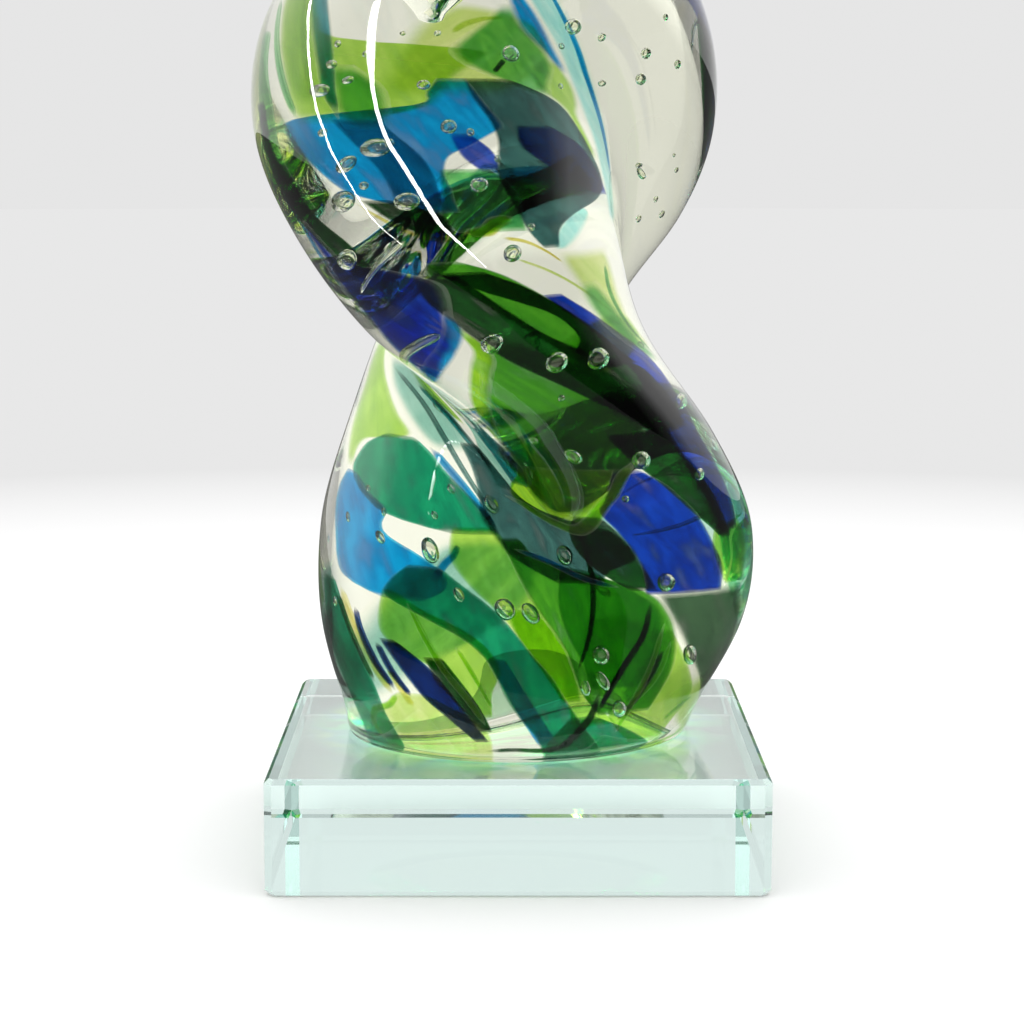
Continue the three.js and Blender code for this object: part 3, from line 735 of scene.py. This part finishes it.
# %% Broad chips
CHIPS = [
    # the foot's bulb
    ("foot_straw_sweep", "straw", "under", [
        (0.8, -177, -133), (4, -178, -132), (7, -175, -134), (9.5, -166, -140), (12, -158, -149)]),
    ("foot_navy_streak", "navy", "over", [
        (4, -136, -132), (8, -142, -136), (12, -147, -139), (16, -150, -141), (19, -152, -144),
        (22, -154, -151)]),
    ("foot_forest_streak", "forest", "under", [
        (6, -133, -130), (10, -137, -132), (15, -141, -135), (19, -143, -138)]),
    ("foot_teal", "teal", "over", [(0.6, -112, -66), (2.5, -110, -72), (5, -104, -80), (7, -98, -90)]),
    ("edge_teal", "teal", "under", [
        (1, -190, -170), (8, -188, -171), (16, -186, -169), (24, -184, -171), (31, -180, -174)]),
    ("azure_wave", "azure", "over", [
        (31, -148, -136), (33, -163, -127), (36, -166, -126), (39, -165.5, -132), (42, -165, -141),
        (44, -164.5, -142), (47, -163, -139), (49.5, -161, -145), (52, -156, -151)]),
    ("teal_wave", "teal", "over", [
        (0.8, -112, -92), (4, -113, -94), (8, -117, -97), (12, -119, -100.5), (16, -120, -103),
        (20, -121.5, -106.5), (24, -126, -109.5), (28, -137, -113), (31, -146, -117), (34, -142, -122),
        (36.5, -134, -127)]),
    ("wave_edge", "azure", "under", [
        (3, -113, -107), (8, -117, -111), (13, -119, -114), (19, -121, -118)]),
    ("teal_arc", "teal", "under", [
        (44, -117, -103), (46, -139, -103), (48, -146, -104), (50, -151, -106), (53, -154, -109),
        (56, -150, -113), (59, -143, -116.5), (61, -132, -121)]),
    ("shoulder_lime", "lime", "over", [
        (54, -157, -153), (57, -158, -150), (60, -158, -141), (62, -157, -120), (66, -154, -123),
        (70, -150, -126), (75, -146, -129), (80, -136, -128)]),
    ("shoulder_haze", "haze", "under", [
        (60, -112, -98), (64, -118, -95), (68, -123, -95), (72, -127, -101), (77, -126, -112)]),
    ("belly_lime_left", "lime", "under", [
        (9, -133, -129), (13, -136, -126), (17, -139, -121), (20, -148, -121.5), (23, -154, -124),
        (26, -154, -130), (29, -152, -140), (31, -149, -146)]),
    ("belly_lime_right", "lime", "under", [
        (6, -97, -80), (10, -98, -87), (14, -100.5, -91), (18, -104, -91), (23, -108, -94),
        (28, -112, -97), (33, -118, -100), (38, -121, -101), (42, -119.5, -102), (44, -117, -104)]),
    ("acid_glow", "acid", "deep", [(11, -100, -93), (16, -104, -93), (22, -108, -95), (28, -110, -101)]),
    ("belly_green", "green", "under", [
        (8, -85, -62), (12, -90, -52), (16, -91, -46), (20, -91.5, -43), (24, -94, -41), (28, -97, -41),
        (32, -99, -44), (35, -100, -56), (38, -100.5, -88), (42, -101, -96)]),
    ("belly_deep", "leaf", "deep", [
        (13, -84, -60), (18, -86, -50), (24, -88, -44), (29, -88, -43), (33, -84, -50), (36, -78, -62)]),
    ("slate_blob", "slate", "over", [
        (34.5, -84, -62), (37, -94, -56), (40, -100, -44), (44, -102, -43.5), (47, -103, -50),
        (50.5, -100, -78), (55, -98, -85), (61, -97, -89)]),
    ("black_shadow", "forest", "under", [
        (33.5, -50, -41.5), (37, -58, -41.5), (41, -62, -42), (45, -60, -42.5), (48.5, -52, -44)]),
    ("cobalt_dome", "cobalt", "over", [
        (32.8, -46, -18), (36, -43, -15.5), (41, -41.5, -14), (46, -41, -13.5), (50, -42, -13.5),
        (53, -36, -14), (56, -30, -15), (58.5, -24, -18)]),
    ("dome_side_forest", "forest", "over", [
        (44, -7, -4), (50, -12, -2), (56, -13.5, 0), (61, -15, 1), (66, -13, 5)]),
    ("side_cobalt", "cobalt", "under", [
        (45, -4, 3), (54, -1, 9), (62, 3, 14), (70, 10, 22), (76, 19, 30), (82, 24, 32), (88, 25, 31),
        (93, 24, 28)]),
    ("side_lime", "lime", "over", [(34, -13.5, -4), (38, -13.5, 0), (42, -12, 3), (45.5, -7, 2)]),
    ("smoke_flank", "smoke", "over", [
        (8, -26, -17), (12, -30, -12), (18, -37, -8), (24, -40, -5), (29, -42, -3), (32.6, -44, -4)]),
    ("foot_lime_right", "lime", "under", [
        (1.5, -74, -58), (5, -80, -46), (8, -80, -38), (11, -70, -34), (15, -62, -36), (19, -54, -39),
        (24, -48, -42)]),
    # the main lobe where it crosses the front
    ("tip_low", "acid", "over", [
        (46.6, -64, -52), (48.5, -74, -46), (51, -84, -41), (54, -80, -33), (57, -66, -25),
        (59, -59, -19)]),
    ("tip_green", "green", "under", [
        (50, -62, -48), (53, -66, -40), (56, -64, -32), (59, -60, -20), (62, -58, -10), (65, -56, -3),
        (69, -50, 5), (72, -41, 8), (76, -30, 10), (80, -19, 8), (83, -12, 4), (86, -8, 2)]),
    ("tip_side_haze", "haze", "under", [
        (53, -92, -86), (57, -92, -68), (61, -90, -60), (66, -82, -59), (70, -74, -61)]),
    ("tip_side_sea", "sea", "over", [(55, -78, -66), (59, -76, -60), (63, -74, -59), (67, -70, -60)]),
    ("navy_shoulder", "cobalt", "over", [
        (78, -51, -44), (80, -47, -34), (82.5, -43, -26), (85, -41, -17), (88, -38, -11), (91, -35, -6.5),
        (94, -33, -2), (97, -31, 0), (99.5, -29, -8), (101.5, -27, -18), (105, -24, -19),
        (109, -22, -19.5)]),
    ("black_band", "forest", "over", [
        (66, 0, 11), (70, 0, 17), (74, -3, 21), (78, -5, 22), (82, -7, 14), (86, -7.5, 10), (90, -7, 9),
        (94, -7, 8), (97.5, -3, 7)]),
    ("lens_green", "green", "under", [
        (79, 9, 23), (84, 9, 25), (89, 8, 24.5), (94, 6, 22), (98, 2, 18), (100, 5, 11)]),
    ("lens_forest", "forest", "over", [
        (79, 14, 23), (82, 12, 24), (85, 19, 25), (90, 20, 24), (95, 10, 21), (98, 3, 15)]),
    ("rim_straw", "straw", "under", [
        (80, 32, 42), (86, 31, 45), (91, 34, 50), (96, 38, 56), (101, 42, 62)]),
    ("rim_leaf", "leaf", "over", [(78, 32, 37), (84, 31, 39), (90, 33, 43), (95, 37, 44)]),
    ("edge_green", "forest", "over", [
        (99, -19, -13), (104, -20, -11.5), (110, -20, -13.5), (116, -18.5, -11.5), (122, -15, -11.5),
        (130, -9, -6)]),
    ("edge_leaf", "leaf", "under", [(112, -21, -13), (120, -17, -11), (131, -10, -4), (142, -5, -1)]),
    # the upper lobe
    ("azure_band", "azure", "over", [
        (110, 22, 25.5), (112, 10, 27.5), (114, 4, 30), (117, 2, 33), (120, 1, 38), (122, 0, 46),
        (124, 0, 54), (125.5, 1, 60), (127, 6, 61), (129.5, 44, 61), (132, 50, 61), (134, 55, 61)]),
    ("band_sea", "sea", "under", [(111, 14, 24), (116, 17, 28), (121, 18, 30), (126, 17, 29)]),
    ("violet_blob", "violet", "under", [
        (117.5, 43, 46), (119.5, 42, 49), (121.5, 43, 50), (123.5, 45, 49)]),
    ("scallop_green", "leaf", "over", [
        (106.3, 22, 37), (108, 22, 40), (110, 24.5, 43), (112, 28, 46), (115, 31, 47), (117, 34, 45)]),
    ("scallop_sea", "haze", "under", [
        (107, 23, 38), (109, 24, 42), (112, 29, 47), (115, 36, 50), (118, 46, 52)]),
    ("scallop_forest", "forest", "over", [
        (105.8, 12, 19), (107.5, 9, 20.5), (109.3, 7.5, 20.5), (111.5, 6, 12)]),
    ("slate_oval", "slate", "over", [
        (103, 40, 42), (106, 40, 48), (109, 41.5, 60), (111.5, 43.5, 76), (114, 45.5, 86),
        (117, 48.5, 89), (120, 53, 89.5), (123, 57, 90), (126, 59, 89.5), (129, 60, 88),
        (131.5, 60.5, 84), (134, 62, 74)]),
    ("oval_violet", "violet", "under", [
        (113, 78, 88), (116, 68, 88), (119, 64, 87), (122, 62, 85), (125, 66, 76)]),
    ("crown_lime", "lime", "under", [
        (126.5, 4, 22), (129, 4, 44), (132, 5, 52), (135, 6, 60), (138, 7, 70), (140, 7, 72),
        (142, 8, 32), (146, 9, 27), (151, 10, 27), (158, 12, 26), (166, 14, 24)]),
    ("crown_straw", "straw", "over", [
        (130, 8, 18), (137, 9, 22), (145, 11, 26), (154, 14, 26), (164, 16, 24)]),
    ("crown_green", "leaf", "over", [
        (131.5, 82, 86), (134, 74, 90), (137, 66, 96), (140, 64, 98), (143, 72, 97), (146, 82, 96),
        (149, 92, 98)]),
    ("crown_leaf_left", "leaf", "over", [
        (125.5, 21, 30), (129, 21, 34), (133, 23.5, 37), (136.5, 26, 33)]),
    ("oval_side_lime", "lime", "under", [
        (120, 89, 92), (127, 89, 94), (130, 87.5, 99), (133, 83, 102), (136, 86, 102), (138.5, 95, 101)]),
    ("crown_azure", "azure", "under", [
        (136.5, 100, 104), (140, 97, 106), (144, 93, 108), (148, 95, 108), (152, 98, 106.5),
        (160, 99, 106), (168, 100, 104)]),
    ("crown_cyan", "cyan", "over", [
        (107, 78, 86), (112, 86, 96), (118, 91.5, 103), (124, 96, 109), (130, 100, 114), (136, 104, 118),
        (142, 108, 121), (148, 109, 123), (156, 110, 124), (164, 112, 121)]),
    # the far side, which is nearly clear, and the neck
    ("back_cyan", "cyan", "over", [(32, 44, 56), (38, 42, 66), (45, 46, 72), (52, 54, 70)]),
    ("back_forest", "lime", "under", [
        (3, 34, 48), (8, 34, 58), (13, 36, 62), (18, 40, 56), (22, 42, 50)]),
    ("back_azure", "haze", "over", [(10, 96, 112), (16, 92, 122), (22, 96, 126), (28, 106, 124)]),
    ("back_lime", "lime", "under", [(64, 146, 160), (69, 142, 168), (74, 146, 172), (79, 156, 170)]),
    ("back_cobalt", "azure", "over", [(99, 200, 212), (103, 198, 216), (107, 200, 217), (110, 206, 216)]),
    ("back_green", "straw", "under", [
        (124, 262, 284), (130, 258, 290), (136, 262, 292), (141, 270, 290)]),
    ("neck_green", "straw", "over", [
        (164, -24, 8), (170, -32, 18), (178, -30, 22), (186, -20, 18), (194, -8, 10)]),
    ("neck_azure", "cyan", "under", [
        (166, 124, 150), (173, 106, 158), (181, 102, 152), (189, 108, 140), (198, 114, 128)]),
    ("neck_lime", "lime", "under", [(174, 24, 56), (182, 22, 70), (190, 32, 68), (200, 44, 58)]),
]
# Chips that lie so close over another that they have no solid of their own.
NO_SOLID = {
    "belly_deep", "dome_side_forest", "lens_forest", "scallop_sea", "crown_leaf_left",
    "oval_side_lime", "back_cyan", "neck_lime",
}
for name, shade, layer, outline in CHIPS:
    nodes = [] if name in NO_SOLID else [name]
    place_piece(chip(f"{name}_glass", shade, layer, outline), SHADES[shade][0], *nodes)
print(len(CHIPS), "colour chips")

# %% [markdown]
# ## Threads
# Where a chip's edge was dragged by the twist it leaves a thread: a lime rim under the
# green tip, the gold lip of the scallop, blue lines along the lobe's edge. A thread is
# a narrow slab along a curve, given by points of height, angle and width.

# %% Threads
STREAKS = [
    ("tip_rim", "acid", "top", [
        (51.5, -88, 1.6), (49, -77, 2.2), (46.8, -66, 2.4), (45.8, -58, 2.4), (47.8, -50, 2.4),
        (51, -42, 2), (54.3, -33, 1.6), (57.8, -25, 1.6), (61, -16, 1.2)]),
    ("tip_rim_gold", "gold", "over", [
        (45.2, -60, 0.8), (47.2, -51, 1), (50.6, -42, 1.2), (54, -33.5, 1), (57, -27, 0.6)]),
    ("tip_upper_rim", "acid", "over", [
        (64, -58, 2.2), (68.5, -50, 2.6), (72.5, -41, 2.8), (76.5, -30, 2.6), (80.5, -19, 2.6),
        (84, -11, 2.4), (90, -8, 1.6)]),
    ("wave_outline", "azure", "deep", [
        (34, -132, 1.4), (37, -127, 1.6), (39, -122.5, 1.4), (41, -120, 0.8)]),
    ("haze_blue_a", "azure", "under", [
        (44, -101.5, 1), (50, -105, 1.8), (55, -109, 2.2), (60, -114, 1.4)]),
    ("haze_slate_a", "slate", "over", [
        (46, -99, 0.8), (55, -102, 1), (63, -105, 1.2), (70, -110, 1), (76, -121, 0.8)]),
    ("haze_slate_b", "sea", "over", [(60, -92, 1), (65, -96, 1.6), (69, -101, 1.4), (73, -108, 1)]),
    ("haze_slate_c", "slate", "top", [(56, -87, 0.8), (62, -90, 1), (67, -95, 1), (71, -101, 0.7)]),
    ("gold_crinkle_a", "gold", "over", [
        (12, -160, 2), (18, -163, 2.6), (25, -165, 2.2), (31, -167, 1.4)]),
    ("gold_crinkle_b", "gold", "over", [(10, -154, 2), (14, -156, 1.6), (17, -157, 1)]),
    ("dark_crinkle_a", "navy", "top", [
        (13, -157, 1.4), (18, -160, 2.2), (24, -161, 1.6), (28, -160, 0.8)]),
    ("dark_crinkle_b", "navy", "top", [(12, -152, 1.2), (17, -155, 1.8), (22, -156, 1.2)]),
    ("dark_crinkle_c", "forest", "top", [(14, -164.5, 1), (22, -166, 1.4), (30, -168, 1)]),
    ("foot_acid_line", "acid", "top", [
        (1.5, -174, 1), (5, -177, 1.6), (8.2, -172, 1.6), (10, -163, 1.4), (12.5, -157, 1)]),
    ("foot_acid_edge", "acid", "over", [
        (7, -130.5, 1.2), (12, -133, 1.6), (18, -137, 1.4), (25, -139, 1), (30, -140, 0.6)]),
    ("foot_acid_thread", "acid", "over", [(10, -126, 0.7), (16, -128, 0.9), (22, -130, 0.7)]),
    ("foot_dark_line", "forest", "top", [
        (1.5, -134, 1), (1.8, -124, 1), (1.5, -112, 1.2), (2.5, -104, 1.6), (5, -97, 1.8), (8, -90, 1.8),
        (13, -83, 1.4)]),
    ("belly_line_a", "forest", "top", [
        (16, -92, 0.8), (24, -78, 1.4), (32, -68, 1.6), (40, -61, 1.4), (46, -57, 0.8)]),
    ("belly_line_b", "navy", "top", [
        (8, -88, 1), (13, -78, 1.4), (18, -67, 1.4), (24, -55, 1.2), (31, -47, 0.8)]),
    ("belly_line_c", "acid", "top", [
        (4, -82, 0.8), (8, -74, 1.2), (13, -64, 1.2), (18, -56, 1), (26, -46, 0.8)]),
    ("belly_line_d", "acid", "over", [(9, -72, 0.8), (12, -62, 1.2), (16, -53, 1.2), (22, -45, 0.8)]),
    ("belly_line_e", "forest", "over", [(6, -80, 0.8), (10, -68, 1.2), (15, -57, 1.2), (21, -48, 0.8)]),
    ("belly_line_f", "acid", "top", [(5, -56, 0.7), (7.5, -46, 0.9), (9.5, -36, 0.7)]),
    ("slate_streak_blue", "azure", "top", [
        (41, -96, 0.8), (38.5, -84, 1.6), (35.5, -70, 1.6), (33.8, -56, 1)]),
    ("navy_teal_edge", "azure", "top", [
        (77.3, -51, 1.4), (79.2, -42, 2.2), (81.6, -31, 2.4), (84.4, -20, 2.2), (88, -10.5, 2.4),
        (91.5, -6, 1.4)]),
    ("edge_azure_line", "azure", "over", [
        (96, -32, 1), (103, -26.5, 1.2), (109, -22, 1), (116, -19, 0.7)]),
    ("scallop_gold", "gold", "top", [
        (112, 4, 0.8), (108.5, 6.5, 1), (106, 9.5, 1.2), (104.8, 13, 1.3), (104.8, 18.5, 1.2),
        (105.4, 23, 1.2), (105.6, 28, 1.4), (107, 33, 1.2), (107.6, 38.5, 0.9)]),
    ("scallop_acid", "acid", "over", [
        (105.6, 22.5, 1.6), (106, 28, 1.8), (107.6, 33, 1.8), (108.4, 38.5, 1.2)]),
    ("scallop_orange", "gold", "top", [
        (104.6, 30, 0.8), (103.8, 35, 1), (101.8, 38, 0.8), (99.5, 39.5, 0.6)]),
    ("oval_cyan", "cyan", "top", [
        (102, 41, 1.2), (104.3, 48, 2.8), (106.8, 56, 3.2), (108.8, 63, 2.6), (109.6, 67, 1.2)]),
    ("lobe_blue_line", "azure", "top", [
        (115, 98, 0.8), (122, 104, 1.4), (129, 109.5, 1.8), (136, 114.5, 1.8), (142, 118.5, 1.6),
        (150, 121, 1), (158, 122, 0.6)]),
    ("crown_teal_stripe", "sea", "top", [
        (127, 20.5, 1.2), (132, 23, 2.4), (137, 26.5, 3.2), (143, 29.5, 4), (150, 31.5, 4.4),
        (158, 33, 3.4), (166, 34, 1.6)]),
    ("crown_straw_line", "straw", "top", [
        (130, 17, 0.8), (138, 20.5, 1.4), (146, 24, 1.4), (156, 27, 1)]),
    ("crown_leaf_line", "leaf", "over", [(127, 6, 1.2), (134, 7, 1.8), (142, 8, 1.4), (150, 9, 0.8)]),
    ("crown_arc", "straw", "top", [(143.5, 68, 0.8), (145.3, 74, 1.2), (146.5, 82, 1), (146.8, 90, 0.6)]),
    ("crown_dash", "forest", "top", [(136, 72.5, 0.8), (138.4, 79, 1)]),
    ("rim_white_a", "straw", "top", [(101, 27, 0.7), (98, 33, 0.9), (94, 37, 0.9), (88, 40, 0.6)]),
    ("rim_leaf_line", "leaf", "top", [(79, 38, 0.8), (86, 41, 1.2), (93, 47, 1.2), (99, 56, 0.8)]),
]
for name, shade, layer, path in STREAKS:
    place_piece(streak(f"{name}_thread", shade, layer, path), SHADES[shade][0])
print(len(STREAKS), "threads")

# %% [markdown]
# ## The block and its bond
# The solid block already has the right shape, so it stays and only gets its glass. The
# bond is a film of clear adhesive, seen as a faint line where the foot sits.

# %% The block and its bond
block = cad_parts["base_block"]
block.data.materials.clear()
block.data.materials.append(aqua_glass)
bond_tint = [(0.97, 0.98, 0.97, 1), (0.95, 0.96, 0.95, 1)]
bond_glass = clear_glass("bond_bead_clear", bond_tint, 60.0, 0.0002, coat=0.0)
BEAD = 0.5
BEAD_SIDES = 8


def bond_bead():
    """The thin fillet of adhesive that is left all round the foot."""
    loops = []
    for turn in [math.tau * step / BEAD_SIDES for step in range(BEAD_SIDES)]:
        out = FOOT_ROUND - 0.2 - BEAD * math.cos(turn)
        loop = skin_loop(0.0, out)
        lift = block_high[2] + BEAD * (1 + math.sin(turn)) * 0.45 * MM
        loops.append([Vector((point.x, point.y, lift)) for point in loop])
    points, faces = loft(loops + [loops[0]])
    size = len(loops[0])
    wrap = len(points) - size
    faces = [tuple(index - wrap if index >= wrap else index for index in face) for face in faces]
    return make_object("bond_bead", points[:wrap], faces, bond_glass)


place_piece(bond_bead(), "bond_film", "bond_film")
print("block", block.name)

# %% [markdown]
# ## The floor
# A pale sheet that is white around the vase and a little greyer far off: the greyer far
# part is painted shade. It stops just in front of the vase and mirrors as dark, because
# a white floor that mirrors in dark glass lies over its colour as a grey veil.

# %% Floor
FLOOR_RADIUS = 6.0
FLOOR_GAP = 0.0002
FLOOR_FRONT = -0.36
FLOOR_SIDES = 64
NEAR_WHITE, FAR_PAINTED_SHADE, FLOOR_MIRRORED = 0.955, 0.63, 0.10


def floor_material():
    made, tree = material("pale_floor")
    place = tree.node("TexCoord", output=3)
    radius = tree.node("VectorMath", {"operation": "LENGTH"}, {0: place}, output=1)
    # The floor greys with distance from the vase: painted shade.
    shade = tree.ramp(radius, [(0.29, grey(NEAR_WHITE)), (0.66, grey(FAR_PAINTED_SHADE))])
    mirrored = Socket(tree, tree.node("LightPath").output.node.outputs["Is Reflection Ray"])
    shade = tree.mix_colour(mirrored, shade, grey(FLOOR_MIRRORED))
    shader = tree.node("BsdfPrincipled", None, {
        "Base Color": shade, "Roughness": 1.0, "Specular IOR Level": 0.0,
    })
    tree.node("OutputMaterial", None, {"Surface": shader})
    return made


floor_points = [Vector((0, 0, -FLOOR_GAP))]
floor_points += [
    Vector((FLOOR_RADIUS * math.cos(a), max(FLOOR_RADIUS * math.sin(a), FLOOR_FRONT), -FLOOR_GAP))
    for a in [math.tau * i / FLOOR_SIDES for i in range(FLOOR_SIDES)]
]
floor_faces = [(0, i + 1, (i + 1) % FLOOR_SIDES + 1) for i in range(FLOOR_SIDES)]
floor = make_object("floor", floor_points, floor_faces, floor_material())
print("floor", FLOOR_RADIUS, "m")

# %% [markdown]
# ## The room
# The world stands for a pale room. It is bright behind and above the vase, where most of
# the light that comes through the glass starts, and it mirrors dark on the viewer's
# side, so that the colours stay deep. The floor and the backdrop get even light.

# %% World light
BACKDROP = 0.79
EVEN_LIGHT = 1.28


def studio_world():
    """Bright behind and above, dark on the viewer's side, even for the floor."""
    world = bpy.data.worlds.new("studio")
    bpy.context.scene.world = world
    world.cycles.sampling_method = "NONE"
    tree = Tree(world)
    direction = tree.node("TexCoord", output=0)
    parts = tree.node("SeparateXYZ", None, {0: direction}).output.node
    depth, height = (Socket(tree, parts.outputs[k]) for k in (1, 2))
    sky = tree.ramp(height, [(0.0, grey(0.80)), (0.15, grey(0.86)), (0.6, grey(1.0)), (1.0, grey(0.9))])
    facing = depth * 0.5 + 0.5
    paths = tree.node("LightPath").output.node
    mirrored = Socket(tree, paths.outputs["Is Reflection Ray"])
    through = tree.ramp(facing, [(0.20, grey(0.50)), (0.50, grey(0.85)), (0.60, grey(1.0))])
    dim = tree.ramp(facing, [(0.30, grey(0.03)), (0.42, grey(0.20)), (0.56, grey(1.0))])
    behind = tree.mix_colour(mirrored, through, dim)
    multiply = {"data_type": "RGBA", "blend_type": "MULTIPLY"}
    room = tree.node("Mix", multiply, {0: 1.0, 6: sky, 7: behind}, output=2)
    seen, scattered = (Socket(tree, paths.outputs[k]) for k in ("Is Camera Ray", "Diffuse Depth"))
    lit = tree.mix_colour(scattered, room, grey(EVEN_LIGHT))
    colour = tree.mix_colour(seen, lit, grey(BACKDROP))
    light = tree.node("Background", None, {"Color": colour, "Strength": 1.0})
    tree.node("OutputWorld", None, {"Surface": light})


studio_world()
print("room light ready")

# %% [markdown]
# ## The highlights
# Two long lamps mirror in the upper lobe as bent white lines. One long lamp would also
# mirror in every other curve of the glass. So each is a row of short flat lamps with
# grids, each aimed at its own place on the lobe. Each point of a row is an azimuth and a
# height on a ring round the vase, the height and angle of the place on the body that is
# aimed at, and the lamp's width. The rows thin out to nothing at their lower ends.

# %% Lamps
LAMP_DISTANCE = 0.40
LAMP_REACH = 0.029
LAMP_LENGTH = 0.028
LAMP_RADIANCE = 36

def lamp_place(azimuth, height):
    """A point on the lamps' ring round the vase. Azimuth 0 is the front."""
    a = math.radians(azimuth)
    return Vector((LAMP_DISTANCE * math.sin(a), -LAMP_DISTANCE * math.cos(a), height))


def narrow_lamp(name, start, end, width, target):
    """A flat lamp between two points, with a grid that keeps its light on one part."""
    along = end - start
    data = bpy.data.lights.new(name, "AREA")
    data.shape = "RECTANGLE"
    data.size, data.size_y = width, along.length
    place = (start + end) / 2
    half = math.atan(LAMP_REACH / (place - target).length)
    gain = math.tan(half) / (math.tan(half) - half)
    data.energy = LAMP_RADIANCE * math.pi * width * along.length / gain
    data.spread = 2 * half
    lamp = bpy.data.objects.new(name, data)
    back = (place - target).normalized()
    up = (along - back * along.dot(back)).normalized()
    turn = Matrix((up.cross(back), up, back)).transposed()
    lamp.matrix_world = Matrix.Translation(place) @ turn.to_4x4()
    lamp.visible_diffuse = False
    bpy.context.scene.collection.objects.link(lamp)


LAMP_ROWS = {
    "side": [
        (-112, 0.480, 151, 38, 0.011), (-98, 0.450, 146, 34.5, 0.010), (-88, 0.402, 140, 31, 0.010),
        (-80, 0.346, 134, 26.5, 0.010), (-69, 0.259, 126, 20, 0.010), (-66, 0.217, 123, 18, 0.010),
        (-51, 0.090, 111, 9, 0.006), (-38, 0.045, 106, 7, 0.001),
    ],
    "wide": [
        (-60, 0.870, 153, 58, 0.105), (-52, 0.720, 146, 52, 0.085), (-47, 0.620, 141, 47, 0.050),
        (-43, 0.541, 136, 43.5, 0.024), (-41, 0.493, 134, 41.5, 0.018), (-37, 0.430, 130, 38, 0.017),
        (-32, 0.352, 126, 34, 0.017), (-28, 0.306, 123, 32.5, 0.017), (-13, 0.209, 113, 26, 0.017),
        (0, 0.152, 106, 21.5, 0.012), (12, 0.110, 101, 19, 0.002),
    ],
}
for row_name, points in LAMP_ROWS.items():
    for index in range(len(points) - 1):
        low_end, high_end = points[index], points[index + 1]
        whole = lamp_place(*low_end[:2]) - lamp_place(*high_end[:2])
        pieces = max(1, math.ceil(whole.length / LAMP_LENGTH))
        for piece in range(pieces):
            ends = [
                [a + (b - a) * (piece + share) / pieces for a, b in zip(low_end, high_end)]
                for share in (0.0, 0.5, 1.0)
            ]
            narrow_lamp(
                f"{row_name}_{index}_{piece}", lamp_place(*ends[0][:2]), lamp_place(*ends[2][:2]),
                ends[1][4], body_point(*ends[1][2:4]),
            )
print("lamps", len(bpy.data.lights))

# %% [markdown]
# ## The camera
# It stands in front at the height of the upper lobe and looks a little down, so that the
# block's top shows. The frame cuts the neck, so the eye goes to the twist.

# %% Camera
CAMERA_LENS = 91.75
CAMERA_PLACE = Vector((-0.0012, -0.5485, 0.1459))
CAMERA_DOWN = 7.92

camera_data = bpy.data.cameras.new("camera")
camera_data.lens = CAMERA_LENS
camera_data.sensor_width = 36.0
camera_data.clip_start = 0.01
camera = bpy.data.objects.new("camera", camera_data)
camera.location = CAMERA_PLACE
camera.rotation_euler = (math.radians(90 - CAMERA_DOWN), 0, 0)
bpy.context.scene.collection.objects.link(camera)
bpy.context.scene.camera = camera
print("camera", tuple(camera.location))

# %% [markdown]
# ## Light paths
# Light mirrors many times inside the twist and crosses many slabs of colour. A path that
# is cut short is black, so paths may be long.

# %% Light paths and colour
LONGEST_PATH = 40
scene = bpy.context.scene
scene.view_settings.view_transform = "Standard"
scene.view_settings.look = "None"
scene.cycles.max_bounces = LONGEST_PATH
scene.cycles.transmission_bounces = LONGEST_PATH
scene.cycles.glossy_bounces = LONGEST_PATH
scene.cycles.transparent_max_bounces = 16
print("longest path", LONGEST_PATH)
